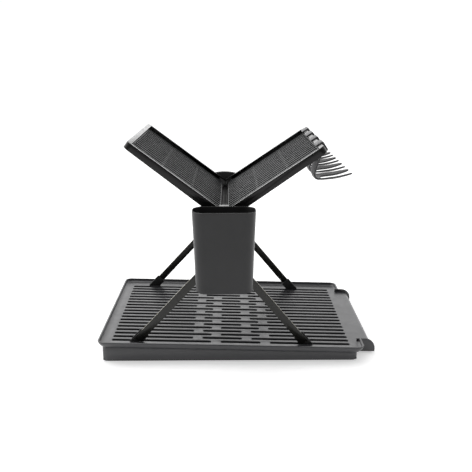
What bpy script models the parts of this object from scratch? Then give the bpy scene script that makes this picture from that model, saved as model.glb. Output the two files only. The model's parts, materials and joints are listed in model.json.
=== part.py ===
"""Folding drying rack on a drip tray.

Two slatted wings open into a V above crossed steel legs. The legs stand in a sloping
drip tray with a pouring spout, a cutlery holder hangs on the front hub, and glass hooks
clip on the end rail of the right wing.

Metres, +Z up. X runs along the tray towards the spout, Y runs from front to back, and the
origin is the bottom centre of the whole object.
"""

import math

import bmesh
import bpy
from mathutils import Matrix, Vector

GAP = 0.0003  # between pieces that touch

# Drip tray: its floor falls towards the spout at +X
TRAY_LENGTH = 0.500
TRAY_DEPTH = 0.380
RIM_LEFT = 0.043  # rim top above the table at the high end
RIM_RIGHT = 0.030
RIM_BAND = 0.014
RIM_FLARE = 0.010  # how far the rim leans out over its height
RIM_CORNER = 0.014
FLOOR_DROP = 0.007  # floor below the rim top
BASIN_INSET = 0.0105
GROOVES = 19
GROOVE_PITCH = 0.0172
GROOVE_SHIFT = -0.0034  # towards the front
GROOVE_WIDTH = 0.0082
GROOVE_DEPTH = 0.0042
GROOVE_HALF_LENGTH = 0.226
BRIDGE_LENGTH = 0.018
BRIDGES = ((-0.029, 0.065), (-0.064, 0.030))  # where ribs join, on alternate grooves
SPOUT_REACH = 0.0235
SPOUT_HALF_DEPTH = 0.142
SPOUT_WALL = 0.0025
LIP_RADIUS = 0.008
LIP_LEAN = math.radians(20)  # how far the lip leans out from upright
LIP_DROP = 0.020
CHEEK_REACH = 0.0280  # the spout's two ends stand proud of its lip
CHEEK_TOP = -0.0006
CHEEK_RADIUS = 0.020
BASE_INSET = 0.0115
BASE_WALL = 0.003
PAD_RADIUS = 0.009
PAD_HEIGHT = 0.0018
SKIRT_LIFT = 0.0008  # the skirt stays this far off the table

# Rack: heights are above or below the line where the wings' top edges meet
HINGE_X = -0.012
HINGE_HEIGHT = 0.255  # above the tray floor
PIVOT_SPREAD = 0.015
PIVOT_DROP = 0.0016
PIVOT_RADIUS = 0.003
WING_ANGLE = math.radians(35.3)
WING_TOP = 0.010  # top face above the wing's pivot
WING_END = 0.2005
WING_START = -0.0036
WING_HALF_DEPTH = 0.165
WING_THICK_IN = 0.017
WING_THICK_OUT = 0.013
RIM_SIDE = 0.003
RIM_END = 0.009
WING_CORNER = 0.012
EAR_RADIUS = 0.0147
EAR_THICKNESS = 0.005
GRID_TOP = 0.0025
GRID_BOTTOM = -0.001
LEDGE = 0.0025
SLOT_COUNT = 18
SLAT_WIDTH = 0.006
GRID_BORDER_IN = 0.014
GRID_BORDER_OUT = 0.006
CROSS_BAR = 0.006

HUB_FACE = WING_HALF_DEPTH + 0.0004
HUB_PLATE = 0.005
HUB_TAB = 0.010
TAB_HALF_WIDTH = 0.023
TAB_RISE = {"hub_front": 0.011, "hub_rear": 0.0175}
TAB_SAGITTA = 0.0025
TAB_BOTTOM = -0.012
POCKET_HALF_WIDTH = 0.0105
POCKET_BOTTOM = -0.008
SPINE_DROP = 0.0185
SPINE_RADIUS = 0.006
SPINE_BORE = 0.0032
STOP_START = 0.014
STOP_LENGTH = 0.014
STOP_THICKNESS = 0.005
HUB_TAIL = 0.012  # radius round the rivet
PIN_HEAD = (0.0046, 0.0018)  # radius and height
SCREW_HEAD = (0.0055, 0.0028)
SCREW_RADIUS = 0.0028
SCREW_REACH = 0.012  # how far it goes into the spine tube
SOCKET_RADIUS = 0.0024

RIVET_DROP = 0.072
RIVET_RADIUS = 0.0035
RIVET_HEAD = (0.0058, 0.0016)
LEG_ANGLE = math.radians(48.7)
LEG_WIDTH = 0.0145
LEG_THICKNESS = 0.0025
LEG_LAYER = 0.0029  # from one strip to the next, face to face
LEG_CHAMFER = 0.004
BOOT_WALL = 0.0026
BOOT_THICKNESS = 0.010
BOOT_LENGTH = 0.024
SOLE = 0.004

# Cutlery holder
HOLDER_TOP = 0.0133
HOLDER_HEIGHT = 0.1494
HOLDER_WIDTH = 0.1112
HOLDER_DEPTH = 0.057
HOLDER_TAPER = 0.0045
HOLDER_WALL = 0.0022
HOLDER_CORNER = 0.015
HOLDER_BACK = 0.1795
TONGUE_HALF_WIDTH = 0.0092
TONGUE_THICKNESS = 0.0034
DRAINS = 5
DRAIN_PITCH = 0.015
DRAIN_WIDTH = 0.005
DRAIN_LENGTH = 0.028

# Glass hooks
HOOKS = 4
HOOK_PITCH = 0.078
HOOK_WIDTH = 0.056
STEM_WIDTH = 0.034
STEM_SLOT = 0.022
HOOK_SHEET = 0.0036
CLIP_WALL = 0.0045
CLIP_ARM = 0.017  # how much further the lower arm reaches in than the upper one

SLOPE = math.atan((RIM_LEFT - RIM_RIGHT) / TRAY_LENGTH)
RIM_MIDDLE = (RIM_LEFT + RIM_RIGHT) / 2
HOLDER_FRONT = HOLDER_BACK + HOLDER_DEPTH
LIP_TIP = (TRAY_LENGTH / 2 + SPOUT_REACH, -FLOOR_DROP - LIP_DROP)
CHEEK_TIP = (TRAY_LENGTH / 2 + CHEEK_REACH, LIP_TIP[1])
REACH = CHEEK_TIP[0] * math.cos(SLOPE) + (CHEEK_TOP - CHEEK_RADIUS) * math.sin(SLOPE)
STAND_X = (TRAY_LENGTH / 2 * math.cos(SLOPE) - REACH) / 2
STAND_Y = (HOLDER_FRONT - TRAY_DEPTH / 2) / 2

PLASTIC = (0.035, 0.036, 0.039)
DARK_PLASTIC = (0.018, 0.018, 0.019)
STEEL = (0.022, 0.021, 0.018)
BARE_STEEL = (0.35, 0.35, 0.35)
RUBBER = (0.012, 0.012, 0.012)


def clear_scene():
    for found in list(bpy.data.objects):
        bpy.data.objects.remove(found)


def collection(name, helper=False):
    made = bpy.data.collections.new(name)
    bpy.context.scene.collection.children.link(made)
    made.hide_render = helper
    return made


def material(name, colour, roughness, metallic=0.0):
    made = bpy.data.materials.new(name)
    made.use_nodes = True
    shader = made.node_tree.nodes["Principled BSDF"]
    shader.inputs["Base Color"].default_value = (*colour, 1)
    shader.inputs["Roughness"].default_value = roughness
    shader.inputs["Metallic"].default_value = metallic
    made.diffuse_color = (*colour, 1)
    return made


clear_scene()
RACK = collection("folding_drying_rack")
CUTTERS = collection("cutters", helper=True)


def empty(name, place, parent=None, turn=(0, 0, 0)):
    made = bpy.data.objects.new(name, None)
    RACK.objects.link(made)
    made.parent = parent
    made.location = place
    made.rotation_euler = turn
    made.empty_display_size = 0.02
    return made


def add(name, mesh, parent, place=(0, 0, 0), turn=(0, 0, 0)):
    """A named object with this mesh, in the rack's collection."""
    made = bpy.data.objects.new(name, mesh)
    RACK.objects.link(made)
    made.parent = parent
    made.location = place
    made.rotation_euler = turn
    return made


def finish(made, colour, roughness, metallic=0.0):
    made.data.materials.clear()
    made.data.materials.append(material(made.name, colour, roughness, metallic))
    made.data.shade_smooth()
    made.data.set_sharp_from_angle(angle=math.radians(35))
    return made


def mesh_from(shape, name):
    mesh = bpy.data.meshes.new(name)
    shape.to_mesh(mesh)
    shape.free()
    return mesh


def add_box(shape, low, high):
    """Adds a box between two corners to a bmesh and returns its vertices."""
    low, high = Vector(low), Vector(high)
    size = Matrix.Diagonal((*(high - low), 1))
    place = Matrix.Translation((low + high) / 2)
    return bmesh.ops.create_cube(shape, size=1, matrix=place @ size)["verts"]


def boxes(name, corners):
    shape = bmesh.new()
    for low, high in corners:
        add_box(shape, low, high)
    return mesh_from(shape, name)


def rounded_box(name, low, high, corner, bottom_inset=(0, 0, 0, 0), segments=4):
    """A box with rounded upright edges; its bottom is drawn in by (left, right, front, back)."""
    shape = bmesh.new()
    verts = add_box(shape, low, high)
    left, right, front, back = bottom_inset
    middle = (Vector(low) + Vector(high)) / 2
    for vert in verts:
        if vert.co.z < middle.z:
            vert.co.x += left if vert.co.x < middle.x else -right
            vert.co.y += front if vert.co.y < middle.y else -back
    half_height = abs(high[2] - low[2]) / 2
    upright = [e for e in shape.edges if abs(e.verts[0].co.z - e.verts[1].co.z) > half_height]
    bmesh.ops.bevel(shape, geom=upright, offset=corner, segments=segments, affect="EDGES", profile=0.5)
    return mesh_from(shape, name)


def cylinder_mesh(name, stretches, segments=24):
    """A round solid along Y, turned from (radius, from, to) stretches that meet end to end."""
    first, last = stretches[0], stretches[-1]
    profile = [(0, last[2])]
    for radius, start, end in reversed(stretches):
        profile += [(radius, end), (radius, start)]
    profile.append((0, first[1]))
    shape = bmesh.new()
    ring = [shape.verts.new((radius, along, 0)) for radius, along in profile]
    edges = [shape.edges.new(pair) for pair in zip(ring, ring[1:])]
    bmesh.ops.spin(
        shape,
        geom=ring + edges,
        cent=(0, 0, 0),
        axis=(0, 1, 0),
        angle=math.tau,
        steps=segments,
        use_merge=True,
    )
    bmesh.ops.remove_doubles(shape, verts=shape.verts, dist=1e-6)
    bmesh.ops.dissolve_degenerate(shape, edges=shape.edges, dist=1e-7)
    bmesh.ops.recalc_face_normals(shape, faces=shape.faces)
    return mesh_from(shape, name)


def plate(name, outline, start, end):
    """A flat outline of (x, z) points, filled and given its thickness from y = start to y = end."""
    curve = bpy.data.curves.new(name, "CURVE")
    curve.dimensions = "2D"
    curve.fill_mode = "BOTH"
    curve.extrude = (end - start) / 2
    spline = curve.splines.new("POLY")
    spline.points.add(len(outline) - 1)
    for point, (x, z) in zip(spline.points, outline):
        point.co = (x, z, 0, 1)
    spline.use_cyclic_u = True
    guide = bpy.data.objects.new(name, curve)
    CUTTERS.objects.link(guide)
    bpy.context.view_layer.update()
    evaluated = guide.evaluated_get(bpy.context.evaluated_depsgraph_get())
    mesh = bpy.data.meshes.new_from_object(evaluated)
    shape = bmesh.new()
    shape.from_mesh(mesh)
    bmesh.ops.remove_doubles(shape, verts=shape.verts, dist=1e-6)
    middle = Matrix.Translation((0, (start + end) / 2, 0))
    shape.transform(middle @ Matrix.Rotation(math.pi / 2, 4, "X"))
    bmesh.ops.recalc_face_normals(shape, faces=shape.faces)
    shape.to_mesh(mesh)
    shape.free()
    bpy.data.objects.remove(guide)
    return mesh


def boolean(made, other_mesh, operation="DIFFERENCE", turn=(0, 0, 0), place=(0, 0, 0)):
    """Cuts another mesh from an object, or joins it, in the object's own axes."""
    other = bpy.data.objects.new(f"{made.name}_{operation.lower()}", other_mesh)
    CUTTERS.objects.link(other)
    other.parent = made
    other.location = place
    other.rotation_euler = turn
    other.hide_render = True
    other.display_type = "WIRE"
    step = made.modifiers.new(operation.lower(), "BOOLEAN")
    step.operation = operation
    step.object = other
    step.solver = "EXACT"
    return made


def soften(made, width, segments=2, angle=50):
    step = made.modifiers.new("soft_edges", "BEVEL")
    step.width = width
    step.segments = segments
    step.limit_method = "ANGLE"
    step.angle_limit = math.radians(angle)
    return made


def arc(centre, radius, start, end, steps):
    """Points of an arc, with its angles in degrees, counterclockwise where end is the greater."""
    turns = [math.radians(start + (end - start) * i / steps) for i in range(steps + 1)]
    return [(centre[0] + radius * math.cos(t), centre[1] + radius * math.sin(t)) for t in turns]


STAND = empty("stand", (STAND_X, STAND_Y, 0))
TRAY_FRAME = empty("tray_frame", (0, 0, RIM_MIDDLE), STAND, (0, SLOPE, 0))


# --- Drip tray: built in the sloping frame, where the rim's top is z = 0


def groove_cutters():
    """The floor's grooves, each left whole at two bridges that join the ribs beside it."""
    cuts = []
    for row in range(GROOVES):
        middle = GROOVE_SHIFT + (row - (GROOVES - 1) / 2) * GROOVE_PITCH
        first, second = BRIDGES[row % 2]
        ends = [
            (-GROOVE_HALF_LENGTH, first - BRIDGE_LENGTH / 2),
            (first + BRIDGE_LENGTH / 2, second - BRIDGE_LENGTH / 2),
            (second + BRIDGE_LENGTH / 2, GROOVE_HALF_LENGTH),
        ]
        for start, end in ends:
            low = (start, middle - GROOVE_WIDTH / 2, -FLOOR_DROP - GROOVE_DEPTH)
            high = (end, middle + GROOVE_WIDTH / 2, -FLOOR_DROP + 0.001)
            cuts.append((low, high))
    return boxes("grooves", cuts)


def spout_section():
    """The spout's side view: the floor runs on, rounds over the edge and leans out to a tip."""
    lean = math.degrees(LIP_LEAN)
    fall = LIP_DROP - LIP_RADIUS * (1 - math.sin(LIP_LEAN))
    corner = (LIP_TIP[0] - fall * math.tan(LIP_LEAN), LIP_TIP[1] + fall)
    middle = (corner[0] - LIP_RADIUS * math.cos(LIP_LEAN), corner[1] - LIP_RADIUS * math.sin(LIP_LEAN))
    outer = arc(middle, LIP_RADIUS, 90, lean, 6)
    inner = arc(middle, LIP_RADIUS - SPOUT_WALL, lean, 90, 6)
    start = TRAY_LENGTH / 2 - BASIN_INSET - 0.006
    floor = -FLOOR_DROP
    tip = [LIP_TIP, (LIP_TIP[0] - SPOUT_WALL, LIP_TIP[1])]
    return [(start, floor), *outer, *tip, *inner, (start, floor - SPOUT_WALL)]


def cheek_section():
    """The closed wall at each end of the spout: level with the rim, then a quarter round."""
    tip, bottom = CHEEK_TIP
    start = TRAY_LENGTH / 2 - BASE_INSET + 0.003
    turn = arc((tip - CHEEK_RADIUS, CHEEK_TOP - CHEEK_RADIUS), CHEEK_RADIUS, 0, 90, 10)
    return [(start, bottom), (tip, bottom), *turn, (start, CHEEK_TOP)]


def make_tray():
    half_length, half_depth = TRAY_LENGTH / 2, TRAY_DEPTH / 2
    outer = rounded_box(
        "drip_tray",
        (-half_length, -half_depth, -RIM_BAND),
        (half_length, half_depth, 0),
        RIM_CORNER,
        (RIM_FLARE,) * 4,
    )
    tray = add("drip_tray", outer, TRAY_FRAME)
    basin = rounded_box(
        "basin",
        (-half_length + 0.003, -half_depth + 0.003, -FLOOR_DROP),
        (half_length - 0.003, half_depth - 0.003, 0.001),
        RIM_CORNER - 0.003,
        (BASIN_INSET - 0.003,) * 4,
    )
    boolean(tray, basin)
    # The rim is left out where the floor runs on into the spout
    opening = boxes(
        "opening",
        [
            (
                (half_length - 0.03, -SPOUT_HALF_DEPTH, -FLOOR_DROP),
                (half_length + 0.01, SPOUT_HALF_DEPTH, 0.001),
            )
        ],
    )
    boolean(tray, opening)
    lip = plate("lip", spout_section(), -SPOUT_HALF_DEPTH, SPOUT_HALF_DEPTH)
    boolean(tray, lip, "UNION")
    for start in (-SPOUT_HALF_DEPTH - SPOUT_WALL, SPOUT_HALF_DEPTH):
        cheek = plate("cheek", cheek_section(), start, start + SPOUT_WALL)
        boolean(tray, cheek, "UNION")
    boolean(tray, groove_cutters())
    finish(tray, PLASTIC, 0.5)


def make_base():
    """The skirt under the tray: level below, sloping above, and open underneath."""
    half_length = TRAY_LENGTH / 2 - BASE_INSET
    half_depth = TRAY_DEPTH / 2 - BASE_INSET
    low = (-half_length, -half_depth, SKIRT_LIFT)
    high = (half_length, half_depth, RIM_LEFT)
    base = add("tray_base", rounded_box("tray_base", low, high, RIM_CORNER - 0.003), STAND)
    inner = rounded_box(
        "hollow",
        (low[0] + BASE_WALL, low[1] + BASE_WALL, -0.01),
        (high[0] - BASE_WALL, high[1] - BASE_WALL, RIM_LEFT + 0.01),
        RIM_CORNER - 0.003 - BASE_WALL,
    )
    boolean(base, inner)
    boolean(base, pad_seats(), "UNION")
    above = boxes("above", [((-0.4, -0.3, -RIM_BAND - GAP), (0.4, 0.3, 0.1))])
    boolean(base, above, turn=(0, SLOPE, 0), place=(0, 0, RIM_MIDDLE))
    finish(base, PLASTIC, 0.5)


def pad_places():
    along = TRAY_LENGTH / 2 - BASE_INSET - 0.013
    across = TRAY_DEPTH / 2 - BASE_INSET - 0.013
    return {
        "pad_front_left": (-along, -across),
        "pad_front_right": (along, -across),
        "pad_rear_left": (-along, across),
        "pad_rear_right": (along, across),
    }


def pad_seats():
    """A web in each corner of the skirt that carries a pad."""
    reach = 0.0115
    return boxes(
        "seats",
        [
            ((x - reach, y - reach, PAD_HEIGHT + GAP), (x + reach, y + reach, PAD_HEIGHT + 0.003))
            for x, y in pad_places().values()
        ],
    )


def make_pads():
    for name, (x, y) in pad_places().items():
        mesh = cylinder_mesh(name, [(PAD_RADIUS, 0, PAD_HEIGHT)])
        pad = add(name, mesh, STAND, (x, y, 0), (math.pi / 2, 0, 0))
        finish(pad, RUBBER, 0.8)


make_tray()
make_base()
make_pads()

# --- Rack: its frame stands square on the sloping floor, with its origin where the wings meet

HINGE_Z = RIM_MIDDLE - HINGE_X * math.tan(SLOPE) + (HINGE_HEIGHT - FLOOR_DROP) / math.cos(SLOPE)
RACK_FRAME = empty("rack_frame", (HINGE_X, 0, HINGE_Z), STAND, (0, SLOPE, 0))


def hub_arch(rise):
    """The hub's arched top, from right to left."""
    bow = (TAB_HALF_WIDTH**2 + TAB_SAGITTA**2) / (2 * TAB_SAGITTA)
    spread = math.degrees(math.asin(TAB_HALF_WIDTH / bow))
    return arc((0, rise - bow), bow, 90 - spread, 90 + spread, 10)


def hub_outline(rise):
    """The hub plate from the front: an arched top, a shoulder under each wing, a tail at the rivet."""
    tail = arc((0, -RIVET_DROP), HUB_TAIL, 200, 340, 10)
    right = [(HUB_TAIL, -0.058), (0.021, -0.032), (0.0465, 0.002), (0.0440, 0.0095), (0.0300, 0.0030)]
    left = [(-x, z) for x, z in reversed(right)]
    return [*hub_arch(rise), *left, *tail, *right]


def stop_mesh(side):
    """The shoulder under one wing's rim, that holds the wing open."""
    under = -(WING_THICK_IN - WING_TOP) - GAP
    shape = bmesh.new()
    add_box(
        shape,
        (STOP_START, 0, under - STOP_THICKNESS),
        (STOP_START + STOP_LENGTH, EAR_THICKNESS + 0.002, under),
    )
    turn = Matrix.Rotation(-WING_ANGLE, 4, "Y")
    if side < 0:
        turn = Matrix.Scale(-1, 4, (1, 0, 0)) @ turn
    place = Matrix.Translation((side * PIVOT_SPREAD, 0, -PIVOT_DROP))
    shape.transform(place @ turn)
    bmesh.ops.recalc_face_normals(shape, faces=shape.faces)
    return mesh_from(shape, "stop")


def make_hub(name, side):
    """Hub at the front (side -1) or the back (side 1), built for the back and turned for the front."""
    frame = empty(f"{name}_frame", (0, 0, 0), RACK_FRAME, (0, 0, 0 if side > 0 else math.pi))
    rise = TAB_RISE[name]
    hub = add(name, plate(name, hub_outline(rise), HUB_FACE, HUB_FACE + HUB_PLATE), frame)
    tab = [*hub_arch(rise), (-TAB_HALF_WIDTH, TAB_BOTTOM), (TAB_HALF_WIDTH, TAB_BOTTOM)]
    boolean(hub, plate("tab", tab, HUB_FACE + HUB_PLATE - 0.001, HUB_FACE + HUB_TAB), "UNION")
    for wing_side in (-1, 1):
        place = (0, HUB_FACE - EAR_THICKNESS - 0.0004, 0)
        boolean(hub, stop_mesh(wing_side), "UNION", place=place)
        hole = cylinder_mesh("hole", [(PIVOT_RADIUS + GAP, 0.1, 0.2)])
        boolean(hub, hole, place=(wing_side * PIVOT_SPREAD, 0, -PIVOT_DROP))
    if side < 0:
        low = (-POCKET_HALF_WIDTH, HUB_FACE - 0.001, POCKET_BOTTOM)
        high = (POCKET_HALF_WIDTH, HUB_FACE + HUB_PLATE, 0.03)
        boolean(hub, boxes("pocket", [(low, high)]))
    for radius, drop in ((SPINE_BORE, SPINE_DROP), (RIVET_RADIUS + GAP, RIVET_DROP)):
        boolean(hub, cylinder_mesh("hole", [(radius, 0.1, 0.2)]), place=(0, 0, -drop))
    finish(hub, DARK_PLASTIC, 0.45)
    make_fasteners(name.split("_")[1], side, frame)


def fastener(name, stretches, parent, place):
    """A shank and its heads, as (radius, from, to) stretches along Y."""
    made = add(name, cylinder_mesh(name, stretches), parent, place)
    return finish(made, BARE_STEEL, 0.35, 1.0)


def make_fasteners(end, side, frame):
    """The wings' pins, the spine's screw and the legs' rivet at one end, in that hub's axes."""
    face = HUB_FACE + HUB_TAB + GAP
    radius, height = PIN_HEAD
    pin = [(PIVOT_RADIUS, WING_HALF_DEPTH - EAR_THICKNESS, face), (radius, face, face + height)]
    for word, wing_side in (("left", -side), ("right", side)):
        fastener(f"wing_pin_{end}_{word}", pin, frame, (wing_side * PIVOT_SPREAD, 0, -PIVOT_DROP))

    face = HUB_FACE + HUB_PLATE + GAP
    radius, height = SCREW_HEAD
    screw = [(SCREW_RADIUS, WING_HALF_DEPTH - SCREW_REACH, face), (radius, face, face + height)]
    made = fastener(f"spine_screw_{end}", screw, frame, (0, 0, -SPINE_DROP))
    boolean(made, hex_socket(face + height))

    inside, outside = HUB_FACE - 2 * LEG_LAYER - 2 * GAP, HUB_FACE + HUB_PLATE + GAP
    radius, height = RIVET_HEAD
    rivet = [
        (radius, inside - height, inside),
        (RIVET_RADIUS, inside, outside),
        (radius, outside, outside + height),
    ]
    fastener(f"leg_rivet_{end}", rivet, frame, (0, 0, -RIVET_DROP))


def hex_socket(face):
    """The drive in a screw's head."""
    shape = bmesh.new()
    turn = Matrix.Translation((0, face, 0)) @ Matrix.Rotation(math.pi / 2, 4, "X")
    size = {"radius1": SOCKET_RADIUS, "radius2": SOCKET_RADIUS, "depth": 0.003}
    bmesh.ops.create_cone(shape, cap_ends=True, segments=6, matrix=turn, **size)
    return mesh_from(shape, "socket")


def make_spine():
    end = HUB_FACE - GAP
    spine = add("spine_tube", cylinder_mesh("spine_tube", [(SPINE_RADIUS, -end, end)]), RACK_FRAME)
    spine.location = (0, 0, -SPINE_DROP)
    boolean(spine, cylinder_mesh("bore", [(SPINE_BORE, -0.2, 0.2)]))
    finish(spine, DARK_PLASTIC, 0.4)


make_hub("hub_front", -1)
make_hub("hub_rear", 1)
make_spine()


# --- Wings: local X runs out along the wing from its pivot, and Z is square to its face


def wing_blank(name):
    """The wing's outer form: flat above, thinner towards its end, with rounded outer corners."""
    shape = bmesh.new()
    low = (WING_START, -WING_HALF_DEPTH, WING_TOP - WING_THICK_IN)
    high = (WING_END, WING_HALF_DEPTH, WING_TOP)
    add_box(shape, low, high)
    for vert in shape.verts:
        if vert.co.x > 0.1 and vert.co.z < 0:
            vert.co.z += WING_THICK_IN - WING_THICK_OUT
    outer = [e for e in shape.edges if all(v.co.x > 0.1 for v in e.verts)]
    corners = [e for e in outer if e.verts[0].co.y == e.verts[1].co.y]
    bmesh.ops.bevel(shape, geom=corners, offset=WING_CORNER, segments=5, affect="EDGES", profile=0.5)
    top = [e for e in shape.edges if all(v.co.z > WING_TOP - 1e-6 for v in e.verts)]
    bmesh.ops.bevel(shape, geom=top, offset=0.0006, segments=1, affect="EDGES")
    return mesh_from(shape, name)


def ear_outline():
    """The end of a side rim round its pivot, cut so that the two wings turn past each other."""
    under = WING_TOP - WING_THICK_IN
    start = 180 - math.degrees(math.asin(WING_TOP / EAR_RADIUS))
    end = 180 + math.degrees(math.asin(-under / EAR_RADIUS))
    return [(0.02, WING_TOP), *arc((0, 0), EAR_RADIUS, start, end, 8), (0.02, under + 0.0005)]


def make_wing(word, parent):
    frame = add(f"wing_frame_{word}", wing_blank("wing_frame"), parent)
    inside = WING_HALF_DEPTH - RIM_SIDE
    near, far = WING_START + RIM_END, WING_END - RIM_END
    seat = boxes("seat", [((near, -inside, GRID_BOTTOM - GAP), (far, inside, 0.03))])
    well = boxes(
        "well", [((near + LEDGE, -inside + LEDGE, -0.03), (far - LEDGE, inside - LEDGE, 0.03))]
    )
    for start in (-WING_HALF_DEPTH, WING_HALF_DEPTH - EAR_THICKNESS):
        ear = plate("ear", ear_outline(), start, start + EAR_THICKNESS)
        boolean(frame, ear, "UNION")
    boolean(frame, seat)
    boolean(frame, well)
    boolean(frame, cylinder_mesh("pivot", [(PIVOT_RADIUS + GAP, -0.2, 0.2)]))
    finish(frame, DARK_PLASTIC, 0.4)

    low = (near + GAP, -inside + GAP, GRID_BOTTOM)
    high = (far - GAP, inside - GAP, GRID_TOP)
    grid = add(f"slat_grid_{word}", boxes("slat_grid", [(low, high)]), parent)
    boolean(grid, slot_cutters(low, high))
    finish(grid, PLASTIC, 0.5)


def slot_cutters(low, high):
    """The gaps between the slats, stopped at two cross bars."""
    start, end = low[0] + GRID_BORDER_IN, high[0] - GRID_BORDER_OUT
    pitch = (high[1] - low[1]) / SLOT_COUNT
    third = (end - start + CROSS_BAR) / 3
    cuts = []
    for row in range(SLOT_COUNT):
        middle = low[1] + pitch * (row + 0.5)
        for part in range(3):
            here = start + part * third
            half = (pitch - SLAT_WIDTH) / 2
            corner = (here + third - CROSS_BAR, middle + half, high[2] + 0.002)
            cuts.append(((here, middle - half, low[2] - 0.002), corner))
    return boxes("slots", cuts)


LEFT_WING = empty("wing_left_pivot", (-PIVOT_SPREAD, 0, -PIVOT_DROP), RACK_FRAME, (0, -WING_ANGLE, math.pi))
RIGHT_WING = empty("wing_right_pivot", (PIVOT_SPREAD, 0, -PIVOT_DROP), RACK_FRAME, (0, -WING_ANGLE, 0))
make_wing("left", LEFT_WING)
make_wing("right", RIGHT_WING)


# --- Legs: each turns on a rivet, and its boot stands on the tray's floor


def boot_outline():
    """The boot of a left leg from the front, about the middle of its flat sole."""
    along = Vector((math.cos(LEG_ANGLE), math.sin(LEG_ANGLE)))
    across = Vector((-along.y, along.x))
    half = LEG_WIDTH / 2 + BOOT_WALL
    foot = half / math.sin(LEG_ANGLE)
    top = [along * BOOT_LENGTH + across * offset for offset in (-half, half)]
    return [(-foot, 0), (foot, 0), *[(point.x, point.y) for point in top]]


def make_leg(word, side, facing, layer):
    """side is -1 on the left, facing is -1 at the front, and layer counts strips in from the hub."""
    pivot = empty(f"leg_{word}_pivot", (0, 0, -RIVET_DROP), RACK_FRAME)
    rise = HINGE_HEIGHT - RIVET_DROP
    reach = rise / math.tan(LEG_ANGLE)
    outer = HUB_FACE - 0.0004 - layer * LEG_LAYER
    start, end = sorted((facing * outer, facing * (outer - LEG_THICKNESS)))
    length = rise / math.sin(LEG_ANGLE) - SOLE
    half = LEG_WIDTH / 2
    round_end = arc((0, 0), half, 90, 270, 12)
    cut = length - LEG_CHAMFER
    foot = [(cut, -half), (length, -half + LEG_CHAMFER), (length, half - LEG_CHAMFER), (cut, half)]
    outline = [*round_end, *foot]
    turn = LEG_ANGLE if side > 0 else math.pi - LEG_ANGLE
    strip = add(f"leg_{word}", plate("leg", outline, start, end), pivot, turn=(0, turn, 0))
    boolean(strip, cylinder_mesh("hole", [(RIVET_RADIUS + GAP, -0.2, 0.2)]))
    finish(strip, STEEL, 0.4, 0.6)

    middle = (start + end) / 2
    outline = [(-side * x, z) for x, z in boot_outline()]
    mesh = plate("boot", outline, middle - BOOT_THICKNESS / 2, middle + BOOT_THICKNESS / 2)
    boot = add(f"boot_{word}", mesh, pivot, (side * reach, 0, -rise + GAP))
    soften(boot, 0.0012, 2)
    socket = boxes(
        "socket", [((-0.1, start - GAP, -half - GAP), (length + GAP, end + GAP, half + GAP))]
    )
    boolean(boot, socket, turn=(0, turn, 0), place=(-side * reach, 0, rise - GAP))
    finish(boot, RUBBER, 0.6)


for facing, where in ((-1, "front"), (1, "rear")):
    make_leg(f"{where}_left", -1, facing, 0)
    make_leg(f"{where}_right", 1, facing, 1)


# --- Cutlery holder: hangs plumb by a tongue in the front hub's pocket


def make_holder():
    top, bottom = HOLDER_TOP, HOLDER_TOP - HOLDER_HEIGHT
    half = HOLDER_WIDTH / 2
    frame = empty("holder_frame", (0, 0, 0), RACK_FRAME, (0, -SLOPE, 0))
    low, high = (-half, -HOLDER_FRONT, bottom), (half, -HOLDER_BACK, top)
    taper = (HOLDER_TAPER, HOLDER_TAPER, 2 * HOLDER_TAPER, 0)
    cup = add("cutlery_holder", rounded_box("cup", low, high, HOLDER_CORNER, taper, 6), frame)
    wall = HOLDER_WALL
    low = (low[0] + wall, low[1] + wall, bottom + wall)
    high = (high[0] - wall, high[1] - wall, top + 0.0001)
    boolean(cup, rounded_box("hollow", low, high, HOLDER_CORNER - wall, taper, 6))
    tongue_back = -HUB_FACE - 0.0007
    side = TONGUE_HALF_WIDTH
    bridge = ((-side, -HOLDER_BACK - wall / 2, TAB_RISE["hub_front"] + GAP), (side, tongue_back, top))
    low = (-side, tongue_back - TONGUE_THICKNESS, POCKET_BOTTOM + 0.002)
    tongue = (low, (side, tongue_back, top - 0.0005))
    for corners in (bridge, tongue):
        boolean(cup, boxes("hanger", [corners]), "UNION")
    middle = -(HOLDER_BACK + HOLDER_FRONT) / 2 + HOLDER_TAPER
    drains = []
    for column in range(DRAINS):
        x = (column - (DRAINS - 1) / 2) * DRAIN_PITCH
        low = (x - DRAIN_WIDTH / 2, middle - DRAIN_LENGTH / 2, bottom - 0.01)
        drains.append((low, (x + DRAIN_WIDTH / 2, middle + DRAIN_LENGTH / 2, bottom + 0.01)))
    boolean(cup, boxes("drains", drains))
    finish(cup, PLASTIC, 0.45)


make_holder()


# --- Glass hooks: a clip round the end rail, a stem, and a fork that a glass's foot slides on


def hook_line():
    """The middle of the hook's sheet in the wing's upright axes, from the clip's lower arm to the tip."""
    stem = [(0.0034, -0.0165), (-0.0027, -0.0250), (-0.0062, -0.0340), (-0.0092, -0.0430)]
    bend = arc((-0.0020, -0.0560), 0.0096, 170, 275, 8)
    prong = [(0.010, -0.0652), (0.022, -0.0636), (0.034, -0.0611), (0.046, -0.0577), (0.0590, -0.0530)]
    return [*stem, *bend, *prong]


def thickened(points, thickness):
    """The outline of a sheet that follows a line, a little thinner at its far end."""
    left, right = [], []
    for i, point in enumerate(points):
        before = Vector(points[max(i - 1, 0)])
        after = Vector(points[min(i + 1, len(points) - 1)])
        run = (after - before).normalized()
        half = thickness / 2 * (1 - 0.35 * i / (len(points) - 1))
        left.append((point[0] - run.y * half, point[1] + run.x * half))
        right.append((point[0] + run.y * half, point[1] - run.x * half))
    return left + right[::-1]


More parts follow.
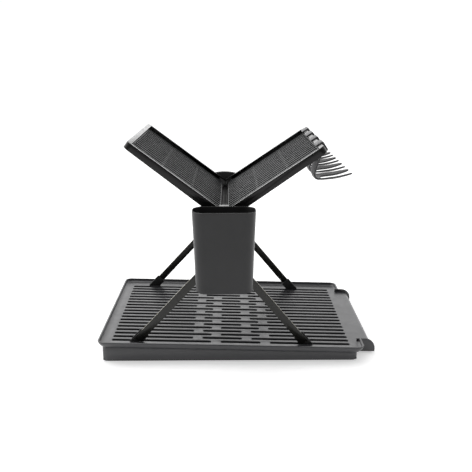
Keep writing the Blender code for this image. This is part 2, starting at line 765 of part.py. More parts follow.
def clip_outline():
    """The clip round the end rail, in the wing's own axes, open towards the hinge."""
    low = WING_TOP - WING_THICK_OUT - 0.0008
    top = WING_TOP + GAP
    inner, outer = WING_END + GAP, WING_END + CLIP_WALL
    start = WING_END - RIM_END - 0.003
    return [
        (start, top),
        (inner, top),
        (inner, low),
        (start - CLIP_ARM, low),
        (start - CLIP_ARM, low - 0.0028),
        (outer - 0.002, low - 0.0028),
        (outer, low - 0.0008),
        (outer, top - 0.0010),
        (outer - 0.002, top + 0.002),
        (start, top + 0.002),
    ]


def make_hook(number):
    y = (number - (HOOKS - 1) / 2) * HOOK_PITCH
    frame = empty(f"hook_{number + 1}_frame", (0, y, 0), RIGHT_WING)
    half = STEM_WIDTH / 2
    hook = add(f"glass_hook_{number + 1}", plate("clip", clip_outline(), -half, half), frame)
    corner = (WING_END, 0, WING_TOP)
    fork = plate("fork", thickened(hook_line(), HOOK_SHEET), -HOOK_WIDTH / 2, HOOK_WIDTH / 2)
    shape = bmesh.new()
    shape.from_mesh(fork)
    for vert in shape.verts:
        if vert.co.z > -0.020:
            vert.co.y *= (STEM_WIDTH - 0.003) / HOOK_WIDTH
        if vert.co.x > 0.040:
            vert.co.y *= 0.80
    shape.to_mesh(fork)
    shape.free()
    boolean(hook, fork, "UNION", (0, WING_ANGLE, 0), corner)
    slot = boxes("slot", [((-0.008, -STEM_SLOT / 2, -0.08), (0.1, STEM_SLOT / 2, -0.045))])
    boolean(hook, slot, "DIFFERENCE", (0, WING_ANGLE, 0), corner)
    finish(hook, PLASTIC, 0.45)


for hook_number in range(HOOKS):
    make_hook(hook_number)
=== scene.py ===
"""Looks of the folding dish rack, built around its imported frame. Metres, +Z up.

Each piece is a finer version of a CAD node: the same form with eased edges, or a form made anew
where the moulded shape is rounder than the CAD one. Positions are the frame's.
"""

import json
import math

import bmesh
import bpy
from mathutils import Matrix, Vector


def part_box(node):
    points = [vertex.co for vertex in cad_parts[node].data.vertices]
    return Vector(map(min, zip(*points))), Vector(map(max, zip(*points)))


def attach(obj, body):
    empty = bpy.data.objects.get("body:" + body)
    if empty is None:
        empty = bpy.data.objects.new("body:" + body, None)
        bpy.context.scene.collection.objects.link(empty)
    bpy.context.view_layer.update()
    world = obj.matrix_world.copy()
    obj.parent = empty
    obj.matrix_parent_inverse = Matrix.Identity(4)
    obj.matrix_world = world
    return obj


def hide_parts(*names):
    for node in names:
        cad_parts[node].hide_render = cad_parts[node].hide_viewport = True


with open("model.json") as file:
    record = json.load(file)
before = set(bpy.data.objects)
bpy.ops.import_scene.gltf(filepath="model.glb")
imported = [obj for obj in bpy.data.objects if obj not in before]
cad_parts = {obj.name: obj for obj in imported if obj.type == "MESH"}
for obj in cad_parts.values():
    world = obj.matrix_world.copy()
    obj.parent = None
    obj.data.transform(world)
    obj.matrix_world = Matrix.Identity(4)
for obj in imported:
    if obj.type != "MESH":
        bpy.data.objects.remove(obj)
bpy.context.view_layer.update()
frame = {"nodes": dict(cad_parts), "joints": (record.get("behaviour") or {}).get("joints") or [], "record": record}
NODES = frame["nodes"]

# The camera: where it stands, and its turns from looking level along +Y
CAMERA_PLACE = (-0.0148, -1.3358, 0.5554)
CAMERA_PITCH = math.radians(14.809)
CAMERA_YAW = math.radians(0.493)
CAMERA_ROLL = math.radians(-0.053)
CAMERA_LENS = 51.931

# The tray's sloping frame, with the rim's top at z = 0
SLOPE = math.atan(0.013 / 0.500)
TRAY_MIDDLE = (-0.013728, 0.02325, 0.0365)
TRAY_HALF = (0.250, 0.190)
FLOOR = -0.007
GROOVES = 19
GROOVE_PITCH = 0.0172
GROOVE_SHIFT = -0.0034
GROOVE_HALF = 0.0045
GROOVE_END = 0.226
BRIDGE = 0.018
BRIDGES = ((-0.029, 0.065), (-0.064, 0.030))
SPOUT_HALF = 0.142
SPOUT_WALL = 0.0025
SPOUT_TIP = 0.2735
CHEEK_TIP = 0.278
CHEEK_RADIUS = 0.020
CHEEK_TOP = -0.0006
CHEEK_START = 0.2415  # outside the skirt
SPOUT_BOTTOM = -0.027


# --- Meshes


def mesh_from(shape, name="made"):
    """A mesh from a bmesh, with its faces turned outwards."""
    bmesh.ops.recalc_face_normals(shape, faces=shape.faces)
    mesh = bpy.data.meshes.new(name)
    shape.to_mesh(mesh)
    shape.free()
    return mesh


def applied(mesh, *steps):
    """The mesh after some modifiers, each given as (type, settings)."""
    helper = bpy.data.objects.new("helper", mesh)
    bpy.context.scene.collection.objects.link(helper)
    for kind, settings in steps:
        step = helper.modifiers.new(kind.lower(), kind)
        for key, value in settings.items():
            setattr(step, key, value)
    depsgraph = bpy.context.evaluated_depsgraph_get()
    made = bpy.data.meshes.new_from_object(helper.evaluated_get(depsgraph))
    bpy.data.objects.remove(helper)
    return made


def joined(mesh, *others):
    """The mesh with others cut from it or added to it, each given as (operation, mesh)."""
    tools, steps = [], []
    for operation, other in others:
        tool = bpy.data.objects.new("tool", other)
        bpy.context.scene.collection.objects.link(tool)
        tools.append(tool)
        steps.append(("BOOLEAN", {"operation": operation, "object": tool, "solver": "EXACT"}))
    made = applied(mesh, *steps)
    for tool in tools:
        bpy.data.objects.remove(tool)
    return made


def cleaned(mesh, angle=1.0):
    """The mesh with split corners joined and its flat faces made whole."""
    shape = bmesh.new()
    shape.from_mesh(mesh)
    bmesh.ops.remove_doubles(shape, verts=shape.verts, dist=1e-5)
    limit = math.radians(angle)
    bmesh.ops.dissolve_limit(shape, angle_limit=limit, verts=shape.verts, edges=shape.edges)
    return mesh_from(shape)


def eased(mesh, width, segments=2, angle=32):
    """The mesh with its edges rounded."""
    bevel = {
        "width": width,
        "segments": segments,
        "limit_method": "ANGLE",
        "angle_limit": math.radians(angle),
        "use_clamp_overlap": True,
        "miter_outer": "MITER_ARC",
    }
    return applied(cleaned(mesh), ("BEVEL", bevel))


def loft(rings, corner_steps=8):
    """A closed solid through rounded rectangles, each (half x, half y, corner, z, middle y)."""
    shape = bmesh.new()
    loops = []
    for half_x, half_y, corner, z, shift in rings:
        loop = []
        for side_x, side_y, start in ((1, 1, 0), (-1, 1, 90), (-1, -1, 180), (1, -1, 270)):
            for step in range(corner_steps + 1):
                turn = math.radians(start + 90 * step / corner_steps)
                x = side_x * (half_x - corner) + corner * math.cos(turn)
                y = side_y * (half_y - corner) + corner * math.sin(turn)
                loop.append(shape.verts.new((x, y + shift, z)))
        loops.append(loop)
    for lower, upper in zip(loops, loops[1:]):
        for i in range(len(lower)):
            j = (i + 1) % len(lower)
            shape.faces.new((lower[i], lower[j], upper[j], upper[i]))
    shape.faces.new(loops[0][::-1])
    shape.faces.new(loops[-1])
    return mesh_from(shape)


def slab(outline, start, end, ease=0.0):
    """A flat outline of (x, z) points, given its thickness from y = start to y = end."""
    shape = bmesh.new()
    near = [shape.verts.new((x, start, z)) for x, z in outline]
    far = [shape.verts.new((x, end, z)) for x, z in outline]
    shape.faces.new(near)
    shape.faces.new(far[::-1])
    for i in range(len(near)):
        j = (i + 1) % len(near)
        shape.faces.new((near[j], near[i], far[i], far[j]))
    mesh = mesh_from(shape)
    return eased(mesh, ease) if ease else mesh


def block(low, high):
    """A box between two corners."""
    return slab([(low[0], low[2]), (high[0], low[2]), (high[0], high[2]), (low[0], high[2])], low[1], high[1])


def merged(meshes):
    """One mesh from several that don't touch."""
    shape = bmesh.new()
    for mesh in meshes:
        shape.from_mesh(mesh)
    return mesh_from(shape)


def arc(centre, radius, start, end, steps):
    """Points of an arc between two angles in degrees."""
    turns = [math.radians(start + (end - start) * i / steps) for i in range(steps + 1)]
    return [(centre[0] + radius * math.cos(t), centre[1] + radius * math.sin(t)) for t in turns]


# --- Materials


def noise(tree, scale, detail, point):
    made = tree.nodes.new("ShaderNodeTexNoise")
    made.inputs["Scale"].default_value = scale
    made.inputs["Detail"].default_value = detail
    tree.links.new(point, made.inputs["Vector"])
    return made.outputs["Fac"]


def ranged(tree, value, low, high, start=0.0, end=1.0):
    """low where the value is at start, high where it is at end."""
    made = tree.nodes.new("ShaderNodeMapRange")
    for name, number in (("From Min", start), ("From Max", end), ("To Min", low), ("To Max", high)):
        made.inputs[name].default_value = number
    tree.links.new(value, made.inputs["Value"])
    return made.outputs["Result"]


def facing(tree, axis, start, end):
    """1 on faces whose normal has at least the end value along an axis, and 0 below the start value."""
    split = tree.nodes.new("ShaderNodeSeparateXYZ")
    tree.links.new(tree.nodes.new("ShaderNodeTexCoord").outputs["Normal"], split.inputs["Vector"])
    value = split.outputs[axis]
    if start > end:  # faces across the axis, on both sides
        size = tree.nodes.new("ShaderNodeMath")
        size.operation = "ABSOLUTE"
        tree.links.new(value, size.inputs[0])
        value = size.outputs["Value"]
    return ranged(tree, value, 0.0, 1.0, start, end)


def material(name, colour, roughness, metallic=0.0, grain=0.05, grain_scale=1400, specular=0.5, rim=None):
    """A moulded or coated surface: uneven colour and gloss, a fine grain, and, if given, a painted highlight: a
    lighter colour on the faces that point along an axis.
    """
    made = bpy.data.materials.new(name)
    made.use_nodes = True
    tree = made.node_tree
    shader = tree.nodes["Principled BSDF"]
    point = tree.nodes.new("ShaderNodeTexCoord").outputs["Object"]
    broad = noise(tree, 9.0, 3.0, point)
    fine = noise(tree, grain_scale, 2.0, point)
    patches = noise(tree, 60.0, 5.0, point)

    shade = tree.nodes.new("ShaderNodeVectorMath")
    shade.operation = "SCALE"
    shade.inputs[0].default_value = colour
    tree.links.new(ranged(tree, broad, 0.90, 1.10, 0.3, 0.7), shade.inputs["Scale"])
    result = shade.outputs["Vector"]
    # rim is a painted highlight: a lighter colour laid on the faces that point along the given axis, for light
    # caught there.
    if rim:
        axis, start, end, pale = rim
        painted_highlight_mix = tree.nodes.new("ShaderNodeMix")
        painted_highlight_mix.data_type = "RGBA"
        plain, bright = [socket for socket in painted_highlight_mix.inputs if socket.type == "RGBA"]
        bright.default_value = (*pale, 1)
        tree.links.new(facing(tree, axis, start, end), painted_highlight_mix.inputs[0])
        tree.links.new(result, plain)
        result = [socket for socket in painted_highlight_mix.outputs if socket.type == "RGBA"][0]
    tree.links.new(result, shader.inputs["Base Color"])
    uneven = ranged(tree, patches, roughness - 0.04, roughness + 0.05, 0.3, 0.7)
    tree.links.new(uneven, shader.inputs["Roughness"])
    shader.inputs["Metallic"].default_value = metallic
    shader.inputs["Specular IOR Level"].default_value = specular

    bump = tree.nodes.new("ShaderNodeBump")
    bump.inputs["Strength"].default_value = grain
    bump.inputs["Distance"].default_value = 0.0002
    tree.links.new(fine, bump.inputs["Height"])
    tree.links.new(bump.outputs["Normal"], shader.inputs["Normal"])
    return made


# Painted highlight: a lighter grey on the wing frames' upward faces, for the sheen of light from behind on their
# tops.
PAINTED_HIGHLIGHT_ON_WINGS = ("Z", 0.72, 0.79, (0.20, 0.20, 0.20))
# Painted highlight: a lighter grey on the cup's upward faces, for the light caught on its rim.
PAINTED_HIGHLIGHT_ON_CUP = ("Z", 0.80, 0.95, (0.10, 0.10, 0.10))
# Painted highlight: a pale colour on the narrow edges of the leg strips, for light caught on them from above.
PAINTED_HIGHLIGHT_ON_LEG_EDGES = ("Y", 0.6, 0.3, (0.50, 0.47, 0.38))
MATERIALS = {
    "tray_plastic": material("tray_plastic", (0.028, 0.028, 0.031), 0.33, specular=0.62),
    "rack_plastic": material("rack_plastic", (0.008, 0.008, 0.008), 0.22, specular=0.24, rim=PAINTED_HIGHLIGHT_ON_WINGS),
    "hub_plastic": material("hub_plastic", (0.034, 0.034, 0.034), 0.50, specular=0.25),
    "slat_plastic": material("slat_plastic", (0.018, 0.019, 0.020), 0.42, specular=0.35),
    "holder_plastic": material("holder_plastic", (0.019, 0.019, 0.020), 0.34, specular=0.30, rim=PAINTED_HIGHLIGHT_ON_CUP),
    "hook_plastic": material("hook_plastic", (0.050, 0.050, 0.052), 0.45, specular=0.4),
    "leg_steel": material("leg_steel", (0.012, 0.012, 0.010), 0.30, 0.0, 0.10, 900, 0.35, PAINTED_HIGHLIGHT_ON_LEG_EDGES),
    "spine": material("spine", (0.006, 0.006, 0.006), 0.62, specular=0.10),
    "bare_steel": material("bare_steel", (0.30, 0.30, 0.30), 0.32, 1.0, 0.05, 2200),
    "rubber": material("rubber", (0.026, 0.026, 0.026), 0.55, 0.0, 0.15, 1800, 0.35),
}

SLOTS = {part["node"]: part["material_slot"] for part in frame["record"]["subparts"]}
BODIES = {
    node: body for body, members in frame["record"]["behaviour"]["bodies"].items() for node in members
}

for node, found in NODES.items():
    found.data.materials.clear()
    found.data.materials.append(MATERIALS[SLOTS[node]])


def piece(node, mesh, smooth=32):
    """A piece that stands for one CAD node."""
    mesh.materials.clear()
    look = "hub_plastic" if node.startswith("hub") else SLOTS[node]
    mesh.materials.append(MATERIALS[look])
    mesh.name = f"{node}_look"
    mesh.shade_smooth()
    mesh.set_sharp_from_angle(angle=math.radians(smooth))
    made = bpy.data.objects.new(f"{node}_look", mesh)
    bpy.context.scene.collection.objects.link(made)
    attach(made, BODIES[node])
    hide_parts(node)
    return made


# --- Drip tray


def tray_body():
    """The tray's outer form: a band that leans out in a curve, and a rounded rim."""
    half_x, half_y = TRAY_HALF
    band = [(0.0100, -0.0140), (0.0072, -0.0118), (0.0046, -0.0092), (0.0026, -0.0065)]
    band += [(0.0012, -0.0038), (0.0004, -0.0018), (0.0001, -0.0010), (0.0004, -0.0003), (0.0010, 0.0)]
    rings = [(half_x - inset, half_y - inset, 0.014 - inset * 0.6, z, 0) for inset, z in band]
    return loft(rings)


def basin():
    """The hollow of the tray, whose walls sweep into the floor."""
    half_x, half_y = TRAY_HALF
    rings = []
    steps = 8
    for step in range(steps + 1):
        turn = math.pi / 2 * (steps - step) / steps
        inset = 0.0034 + 0.0074 * (1 - math.cos(turn))
        z = -0.0010 + (FLOOR + 0.0010) * math.sin(turn)
        rings.append((half_x - inset, half_y - inset, 0.013 - inset * 0.5, z, 0))
    for inset, z in ((0.0030, -0.0004), (0.0024, 0.0), (0.0020, 0.0010)):
        rings.append((half_x - inset, half_y - inset, 0.0125 - inset * 0.5, z, 0))
    return loft(rings)


def grooves():
    """The floor's grooves, with rounded ends and eased edges, left whole at two bridges each."""
    profile = [(-0.0007, -0.0112), (-0.0001, -0.0109), (0.0, -0.0104), (0.0, -0.0079)]
    profile += [(0.0002, -0.0074), (0.0006, -0.00708), (0.0011, -0.00699), (0.0018, -0.0062)]
    cuts = []
    for row in range(GROOVES):
        middle = GROOVE_SHIFT + (row - (GROOVES - 1) / 2) * GROOVE_PITCH
        first, second = BRIDGES[row % 2]
        ends = [
            (-GROOVE_END, first - BRIDGE / 2),
            (first + BRIDGE / 2, second - BRIDGE / 2),
            (second + BRIDGE / 2, GROOVE_END),
        ]
        for start, end in ends:
            half_x = (end - start) / 2
            rings = [(half_x + out, GROOVE_HALF + out, 0.0028 + out, z, middle) for out, z in profile]
            cut = loft(rings, 3)
            cut.transform(Matrix.Translation(((start + end) / 2, 0, 0)))
            cuts.append(cut)
    return merged(cuts)


def lip_outline():
    """The spout's side view: the floor runs on and rolls over the edge to a thin tip."""
    radius, lean = 0.009, 18
    middle = (SPOUT_TIP - radius - 0.0026, FLOOR - radius)
    outer = arc(middle, radius, 90, lean, 10)
    inner = arc(middle, radius - SPOUT_WALL, lean, 90, 8)
    tip = [(SPOUT_TIP, SPOUT_BOTTOM), (SPOUT_TIP - 0.0022, SPOUT_BOTTOM)]
    start = TRAY_HALF[0] - 0.0165
    return [(start, FLOOR), *outer, *tip, *inner, (start, FLOOR - SPOUT_WALL)]


def cheek_outline():
    """The side view of the wall at each end of the spout."""
    turn = arc((CHEEK_TIP - CHEEK_RADIUS, CHEEK_TOP - CHEEK_RADIUS), CHEEK_RADIUS, 0, 90, 14)
    return [(CHEEK_START, SPOUT_BOTTOM), (CHEEK_TIP, SPOUT_BOTTOM), *turn, (CHEEK_START, CHEEK_TOP)]


def tray_mesh():
    """The whole tray: body, basin, spout between its cheeks, and grooves."""
    half_x = TRAY_HALF[0]
    opening = block((half_x - 0.03, -SPOUT_HALF, FLOOR), (half_x + 0.01, SPOUT_HALF, 0.002))
    steps = [
        ("DIFFERENCE", basin()),
        ("DIFFERENCE", opening),
        ("UNION", slab(lip_outline(), -SPOUT_HALF, SPOUT_HALF)),
    ]
    for start in (-SPOUT_HALF - SPOUT_WALL, SPOUT_HALF):
        steps.append(("UNION", slab(cheek_outline(), start, start + SPOUT_WALL, 0.0007)))
    steps.append(("DIFFERENCE", grooves()))
    mesh = joined(tray_body(), *steps)
    mesh.transform(Matrix.Translation(TRAY_MIDDLE) @ Matrix.Rotation(SLOPE, 4, "Y"))
    return mesh


piece("drip_tray", tray_mesh(), 28)

# --- Cutlery holder: hangs plumb, drawn in towards its bottom


HOLDER_DEPTH = 0.057
HOLDER_CORNER = 0.021
HOLDER_WALL = 0.0022
HOLDER_TAPER = 0.0045
TONGUE_HALF = 0.0092
TONGUE_DROP = 0.0193
TONGUE_THICKNESS = 0.0034
DRAINS = 5
DRAIN_PITCH = 0.015


def cup_mesh(low, high):
    """The cup with its hollow, a rounded foot and a rounded rim."""
    top, bottom, wall = high.z, low.z, HOLDER_WALL
    half_x, half_depth = (high.x - low.x) / 2, HOLDER_DEPTH / 2

    def ring(share, inset, z):
        """share is 0 at the bottom and 1 at the top."""
        narrow = HOLDER_TAPER * (1 - share)
        corner = max(HOLDER_CORNER - inset, 0.004)
        return (half_x - narrow - inset, half_depth - narrow - inset, corner, z, narrow)

    outer = [ring(0, 0.0040, bottom), ring(0, 0.0016, bottom + 0.0006), ring(0.02, 0.0004, bottom + 0.0022)]
    for share, inset in ((0.05, 0.0004), (0.35, 0.0004), (0.65, 0.0004), (0.95, 0.0)):
        outer.append(ring(share, inset, bottom + (top - bottom) * share))
    outer += [ring(0.98, 0.0, top - 0.0022), ring(1, 0.0001, top - 0.0008)]
    outer += [ring(1, 0.0005, top - 0.0002), ring(1, 0.0010, top)]
    inner = [ring(0, wall + 0.004, bottom + wall), ring(0.02, wall + 0.001, bottom + wall + 0.001)]
    inner += [ring(0.05, wall, bottom + wall + 0.005), ring(0.98, wall, top - 0.0030)]
    inner += [ring(1, wall - 0.0004, top - 0.0006), ring(1, wall - 0.0010, top)]
    inner.append(ring(1, wall - 0.0010, top + 0.002))
    body, hollow = loft(outer, 12), loft(inner, 12)
    place = Matrix.Translation(((high.x + low.x) / 2, low.y + half_depth, 0))
    body.transform(place)
    hollow.transform(place)
    return body, hollow


def drain_cutters(middle_x, middle_y, bottom):
    """A row of rounded slots through the cup's floor."""
    drains = []
    for column in range(DRAINS):
        x = middle_x + (column - (DRAINS - 1) / 2) * DRAIN_PITCH
        drain = loft([(0.0025, 0.014, 0.0024, z, 0) for z in (bottom - 0.01, bottom + 0.01)], 5)
        drain.transform(Matrix.Translation((x, middle_y, 0)))
        drains.append(drain)
    return merged(drains)


def holder_mesh():
    """The cup, with the bridge and tongue that hang it on the front hub, and drains in its floor."""
    low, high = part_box("cutlery_holder")
    top, back = high.z, low.y + HOLDER_DEPTH
    middle_x = (high.x + low.x) / 2
    left, right = middle_x - TONGUE_HALF, middle_x + TONGUE_HALF
    body, hollow = cup_mesh(low, high)
    bridge = block((left, back - HOLDER_WALL * 0.6, top - 0.0022), (right, high.y, top - 0.0002))
    tongue = block((left, high.y - TONGUE_THICKNESS, top - TONGUE_DROP), (right, high.y, top - 0.0006))
    return joined(
        body,
        ("DIFFERENCE", hollow),
        ("UNION", eased(bridge, 0.0009, 3)),
        ("UNION", eased(tongue, 0.0006)),
        ("DIFFERENCE", drain_cutters(middle_x, low.y + HOLDER_DEPTH / 2 + HOLDER_TAPER, low.z)),
    )


piece("cutlery_holder", holder_mesh(), 30)

# --- Wings: local X runs out along the wing from its pivot, and Z is square to its face

WING_ANGLE = math.radians(35.3)
WING_END = 0.2005
WING_TOP = 0.010
WING_INSIDE = 0.162
NEAR_EDGE = -0.0084  # the slats' end beside the other wing
RAIL_LIP = 0.0045
SLATS = 18
SLAT_WIDTH = 0.0058
CROSS_BAR = 0.005
GRID_LOW = (NEAR_EDGE, -0.1617, -0.001)
GRID_HIGH = (0.1912, 0.1617, 0.0025)
GRID_BORDER = 0.0012
RACK_TILT = Matrix.Rotation(SLOPE, 4, "Y")
JOINT_PLACES = {joint["name"]: joint.get("pos_m") for joint in frame["joints"]}
TURNED = {
    "right": Matrix.Rotation(-WING_ANGLE, 4, "Y"),
    "left": Matrix.Rotation(math.pi, 4, "Z") @ Matrix.Rotation(-WING_ANGLE, 4, "Y"),
}
WING_PLACES = {
    side: Matrix.Translation(JOINT_PLACES[joint]) @ RACK_TILT @ TURNED[side]
    for side, joint in (("left", "fold"), ("right", "wing_right_fold"))
}


def wing_frame_mesh(side):
    """The frame, with a small lip along its side rails and a near rail that lies under the slats."""
    place = WING_PLACES[side]
    mesh = NODES[f"wing_frame_{side}"].data.copy()
    mesh.transform(place.inverted())
    under = block((NEAR_EDGE - 0.01, -WING_INSIDE, GRID_LOW[2] - 0.0002), (0.0056, WING_INSIDE, 0.02))
    steps = [("DIFFERENCE", under)]
    for way in (-1, 1):
        start, end = sorted((way * (WING_INSIDE + 0.001), way * (WING_INSIDE - RAIL_LIP)))
        steps.append(("UNION", block((0.0060, start, WING_TOP - 0.0012), (0.1920, end, WING_TOP))))
    made = eased(joined(cleaned(mesh), *steps), 0.0004)
    made.transform(place)
    return made


def slat_grid_mesh(side):
    """The slats: rounded along their tops, over low cross bars."""
    pitch = (GRID_HIGH[1] - GRID_LOW[1]) / SLATS
    start, end = GRID_LOW[0] + GRID_BORDER, GRID_HIGH[0] - GRID_BORDER
    third = (end - start + CROSS_BAR) / 3
    half_x, half_hole, half_y = (end - start) / 2, (third - CROSS_BAR) / 2, (pitch - SLAT_WIDTH) / 2
    profile = [(0.0, 0.0011), (0.0, 0.0016), (0.0003, 0.0021)]
    profile += [(0.0008, 0.00238), (0.0014, 0.00249), (0.0020, 0.0034)]
    tops, holes = [], []
    for row in range(SLATS):
        middle = GRID_LOW[1] + pitch * (row + 0.5)
        rings = [(half_x + out, half_y + out, 0.0016 + out, z, middle) for out, z in profile]
        top = loft(rings, 3)
        top.transform(Matrix.Translation(((start + end) / 2, 0, 0)))
        tops.append(top)
        for part in range(3):
            rings = [(half_hole, half_y - 0.0002, 0.0014, z, middle) for z in (-0.004, 0.0013)]
            hole = loft(rings, 3)
            hole.transform(Matrix.Translation((start + part * third + half_hole, 0, 0)))
            holes.append(hole)
    mesh = joined(block(GRID_LOW, GRID_HIGH), ("DIFFERENCE", merged(tops)), ("DIFFERENCE", merged(holes)))
    mesh.transform(WING_PLACES[side])
    return mesh


for wing in ("left", "right"):
    piece(f"wing_frame_{wing}", wing_frame_mesh(wing), 35)
    piece(f"slat_grid_{wing}", slat_grid_mesh(wing), 35)

# --- Glass hooks: a clip round the end rail, and a bent sheet that ends in two leaf-shaped prongs

HOOK_PITCH = 0.078
HOOK_HALF = 0.028
HOOK_SHEET = 0.0034
HOOKS = 4
CLIP_HALF = 0.017
CLIP_ARM = 0.0028
CLIP_REACH = 0.1715
CLIP_LOW = -0.0038
PRONG_ROWS = 8


def hook_rows():
    """Along the sheet: (x, z, outer half width, inner half width, how far its edges curl up)."""
    stem = [(0.0036, -0.0158, 0.0155), (0.0002, -0.0205, 0.0190), (-0.0028, -0.0258, 0.0245)]
    stem += [(-0.0060, -0.0340, 0.0272), (-0.0090, -0.0425, HOOK_HALF)]
    rows = [(x, z, wide, 0.004, 0.0004) for x, z, wide in stem]
    bend = arc((-0.0020, -0.0560), 0.0096, 172, 275, 7)
    rows += [(x, z, HOOK_HALF, 0.004, 0.0006 + 0.0004 * i) for i, (x, z) in enumerate(bend)]
    rows += [
        (0.0035, -0.0655, 0.0280, 0.0090, 0.0034),
        (0.0090, -0.0655, 0.0280, 0.0130, 0.0044),
        (0.0180, -0.0650, 0.0278, 0.0142, 0.0054),
        (0.0280, -0.0637, 0.0274, 0.0142, 0.0058),
        (0.0380, -0.0614, 0.0266, 0.0144, 0.0058),
        (0.0470, -0.0583, 0.0254, 0.0150, 0.0052),
        (0.0540, -0.0555, 0.0238, 0.0162, 0.0042),
        (0.0588, -0.0532, 0.0214, 0.0180, 0.0032),
    ]
    return rows


def hook_sheet_mesh():
    """The stem, the bend and the two prongs, as one smooth sheet."""
    rows = hook_rows()
    slot_start = len(rows) - PRONG_ROWS
    shape = bmesh.new()
    grid = []
    for i, (x, z, outer, inner, curl) in enumerate(rows):
        before, after = rows[max(i - 1, 0)], rows[min(i + 1, len(rows) - 1)]
        run = Vector((after[0] - before[0], after[1] - before[1])).normalized()
        side = [inner + (outer - inner) * k / 4 for k in range(5)]
        across = [-y for y in reversed(side)] + [0.0] + side
        line = []
        for y in across:
            if y == 0.0 and i > slot_start:
                line.append(None)
                continue
            rise = curl * (abs(y) / HOOK_HALF) ** 2
            line.append(shape.verts.new((x - run.y * rise, y, z + run.x * rise)))
        grid.append(line)
    for i, (here, after) in enumerate(zip(grid, grid[1:])):
        for k in range(10):
            if k in (4, 5) and i >= slot_start:
                continue
            shape.faces.new((here[k], after[k], after[k + 1], here[k + 1]))
    mesh = mesh_from(shape)
    thicken = {"thickness": HOOK_SHEET, "offset": 0.0, "use_even_offset": True}
    return applied(mesh, ("SOLIDIFY", thicken), ("SUBSURF", {"levels": 2, "render_levels": 2}))


def clip_mesh():
    """The clip round the end rail."""
    face, top, corner = WING_END + 0.0043, WING_TOP + 0.0028, 0.0030
    outer = arc((face - corner, top - corner), corner, 0, 90, 6)
    inside = (WING_END + 0.0004, WING_TOP + 0.0004)
    outline = [(0.1890, inside[1]), inside, (inside[0], CLIP_LOW), (CLIP_REACH, CLIP_LOW)]
    outline += [(CLIP_REACH, CLIP_LOW - CLIP_ARM), (face - 0.0020, CLIP_LOW - CLIP_ARM)]
    outline += [(face, CLIP_LOW - 0.0008), *outer, (0.1890, top)]
    return slab(outline, -CLIP_HALF, CLIP_HALF, 0.0006)


def hook_mesh(number):
    """One hook, in its place along the end rail of the right wing."""
    y = (number - (HOOKS - 1) / 2) * HOOK_PITCH
    upright = Matrix.Translation((WING_END, 0, WING_TOP)) @ Matrix.Rotation(WING_ANGLE, 4, "Y")
    sheet = hook_sheet_mesh()
    sheet.transform(upright)
    mesh = joined(clip_mesh(), ("UNION", sheet))
    mesh.transform(WING_PLACES["right"] @ Matrix.Translation((0, y, 0)))
    return mesh


for hook_number in range(HOOKS):
    piece(f"glass_hook_{hook_number + 1}", hook_mesh(hook_number), 40)

# --- Boots: a cap on the strip's inner side, and a wedge that carries its outer face to the floor

LEG_ANGLE = math.radians(48.7)
LEG_HALF_WIDTH = 0.00725
BOOT_START = 0.15  # along the leg, from its rivet
BOOT_CAP_END = 0.2435
WIDE = 0.4  # past the end of every part


def boot_mesh(word):
    """The CAD boot without its outer cover, and as narrow as the strip where it passes the strip."""
    way = -1 if word.startswith("front") else 1
    turn = LEG_ANGLE if word.endswith("right") else math.pi - LEG_ANGLE
    low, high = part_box(f"leg_{word}")
    outer, inner = (high.y, low.y) if way > 0 else (low.y, high.y)
    pivot = Vector(JOINT_PLACES[f"leg_{word}_fold"])
    pivot.y = 0
    place = Matrix.Translation(pivot) @ RACK_TILT @ Matrix.Rotation(turn, 4, "Y")
    beyond = outer + way * 0.02
    start, end = sorted((outer + way * 0.0002, beyond))
    steps = [("DIFFERENCE", block((-WIDE, start, 0), (WIDE, end, 0.2)))]
    start, end = sorted((inner, beyond))
    for side in (-1, 1):
        lower, upper = sorted((side * (LEG_HALF_WIDTH + 0.0006), side * 0.04))
        waste = block((BOOT_START, start, lower), (BOOT_CAP_END, end, upper))
        waste.transform(place)
        steps.append(("DIFFERENCE", waste))
    return eased(joined(cleaned(NODES[f"boot_{word}"].data), *steps), 0.0004)


for boot in ("front_left", "front_right", "rear_left", "rear_right"):
    piece(f"boot_{boot}", boot_mesh(boot))

# --- Spine tube: a slim tube with a collar against each hub


def turned(profile, steps=40):
    """A round solid along Y through (radius, y) points."""
    shape = bmesh.new()
    turns = [math.tau * i / steps for i in range(steps)]
    rings = []
    for radius, y in profile:
        rings.append([shape.verts.new((radius * math.cos(t), y, radius * math.sin(t))) for t in turns])
    for here, after in zip(rings, rings[1:]):
        for i in range(steps):
            j = (i + 1) % steps
            shape.faces.new((here[i], here[j], after[j], after[i]))
    shape.faces.new(rings[0])
    shape.faces.new(rings[-1][::-1])
    return mesh_from(shape)


def spine_mesh():
    """The tube between the hubs, with a collar at each end and a bore for the screws."""
    low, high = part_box("spine_tube")
    middle, half = (low + high) / 2, (high.y - low.y) / 2
    collar, thin, bore, ease = 0.0060, 0.0036, 0.0032, 0.0006
    end = [(collar - ease, half), (collar, half - ease)]
    end += [(collar, half - 0.0050), (collar - ease, half - 0.0050 - ease)]
    end += [(thin + 0.0004, half - 0.0058), (thin, half - 0.0064)]
    outside = turned(end + [(radius, -y) for radius, y in reversed(end)])
    reach = 0.3  # past both ends of the tube
    mesh = joined(outside, ("DIFFERENCE", turned([(bore, -reach), (bore, reach)], 24)))
    mesh.transform(Matrix.Translation(middle))
    return mesh


piece("spine_tube", spine_mesh())

# --- The other pieces: the CAD's own form with eased edges

EASE = {
    "tray_base": 0.0010,
    "hub": 0.0005,
    "spine_screw": 0.0004,
    "leg_rivet": 0.0005,
    "wing_pin": 0.0005,
    "leg": 0.0003,
    "pad": 0.0004,
}


def ease_for(node):
    """The width for the longest start that the node's name has."""
    fits = [start for start in EASE if node.startswith(start)]
    return EASE[max(fits, key=len)]


SKIRT_SHIFT = 0.0045


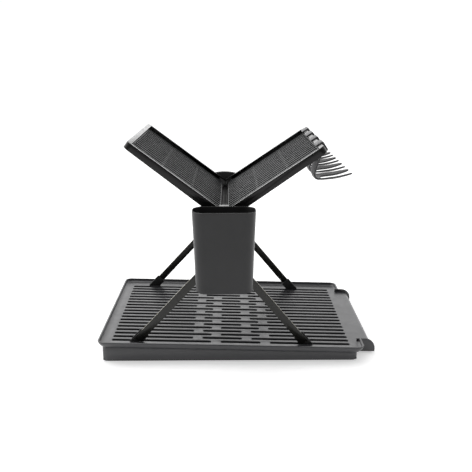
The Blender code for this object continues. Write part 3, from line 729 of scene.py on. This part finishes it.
def widened(mesh):
    """The skirt, a little nearer the rim on the side away from the spout."""
    end = min(point.co.x for point in mesh.vertices)
    for point in mesh.vertices:
        if point.co.x < end + 0.03:
            point.co.x -= SKIRT_SHIFT
    return mesh


for node, found in NODES.items():
    if not found.hide_render:
        look = eased(found.data, ease_for(node))
        piece(node, widened(look) if node == "tray_base" else look)


# --- Floor, lights and camera

FLOOR_RADIUS = 14
FLOOR_TONE = 0.92
FLOOR_GLOW = 0.45
BACKDROP = 1.02
LIGHT_FROM_FRONT = 0.16
LIGHT_FROM_BACK = 1.75
LIGHT_FROM_LEFT = 1.45
LIGHT_FROM_RIGHT = 0.55


def make_floor():
    """A wide pale floor that glows a little, so that it stays white round the soft shadow."""
    shape = bmesh.new()
    bmesh.ops.create_circle(shape, cap_ends=True, segments=96, radius=FLOOR_RADIUS)
    floor = bpy.data.objects.new("studio_floor", mesh_from(shape, "studio_floor"))
    bpy.context.scene.collection.objects.link(floor)
    made = bpy.data.materials.new("studio_floor")
    made.use_nodes = True
    shader = made.node_tree.nodes["Principled BSDF"]
    shader.inputs["Base Color"].default_value = (FLOOR_TONE, FLOOR_TONE, FLOOR_TONE, 1)
    shader.inputs["Roughness"].default_value = 0.9
    shader.inputs["Specular IOR Level"].default_value = 0.0
    shader.inputs["Emission Color"].default_value = (1, 1, 1, 1)
    shader.inputs["Emission Strength"].default_value = FLOOR_GLOW
    floor.data.materials.append(made)


def make_world():
    """White for the camera; as a light it is brighter from behind and from the left."""
    world = bpy.data.worlds.new("studio")
    bpy.context.scene.world = world
    world.use_nodes = True
    tree = world.node_tree
    nodes, links = tree.nodes, tree.links
    backdrop = nodes["Background"]
    backdrop.inputs["Color"].default_value = (1, 1, 1, 1)
    backdrop.inputs["Strength"].default_value = BACKDROP
    lighting = nodes.new("ShaderNodeBackground")
    lighting.inputs["Color"].default_value = (1, 1, 1, 1)
    split = nodes.new("ShaderNodeSeparateXYZ")
    links.new(nodes.new("ShaderNodeTexCoord").outputs["Generated"], split.inputs["Vector"])
    depth = ranged(tree, split.outputs["Y"], LIGHT_FROM_FRONT, LIGHT_FROM_BACK, -0.7, 0.8)
    across = ranged(tree, split.outputs["X"], LIGHT_FROM_LEFT, LIGHT_FROM_RIGHT, -0.8, 0.8)
    product = nodes.new("ShaderNodeMath")
    product.operation = "MULTIPLY"
    links.new(depth, product.inputs[0])
    links.new(across, product.inputs[1])
    links.new(product.outputs["Value"], lighting.inputs["Strength"])
    seen = nodes.new("ShaderNodeLightPath").outputs["Is Camera Ray"]
    mix = nodes.new("ShaderNodeMixShader")
    links.new(seen, mix.inputs["Fac"])
    links.new(lighting.outputs["Background"], mix.inputs[1])
    links.new(backdrop.outputs["Background"], mix.inputs[2])
    links.new(mix.outputs["Shader"], nodes["World Output"].inputs["Surface"])


def soft_light(name, place, target, size, power):
    """A round area light that faces its target."""
    light = bpy.data.lights.new(name, "AREA")
    light.shape = "DISK"
    light.size = size
    light.energy = power
    made = bpy.data.objects.new(name, light)
    bpy.context.scene.collection.objects.link(made)
    made.location = place
    made.rotation_euler = (Vector(target) - Vector(place)).to_track_quat("-Z", "Y").to_euler()


def make_camera():
    camera = bpy.data.cameras.new("camera")
    camera.lens = CAMERA_LENS
    camera.sensor_width = 36
    camera.clip_end = 60
    made = bpy.data.objects.new("camera", camera)
    bpy.context.scene.collection.objects.link(made)
    aim = Matrix.Rotation(-CAMERA_YAW, 4, "Z") @ Matrix.Rotation(math.pi / 2 - CAMERA_PITCH, 4, "X")
    made.matrix_world = Matrix.Translation(CAMERA_PLACE) @ aim @ Matrix.Rotation(CAMERA_ROLL, 4, "Z")
    bpy.context.scene.camera = made


make_floor()
make_world()
soft_light("soft_key", (-0.9, 0.5, 2.2), (0, 0, 0.2), 2.0, 14)
make_camera()
bpy.context.scene.view_settings.view_transform = "Standard"
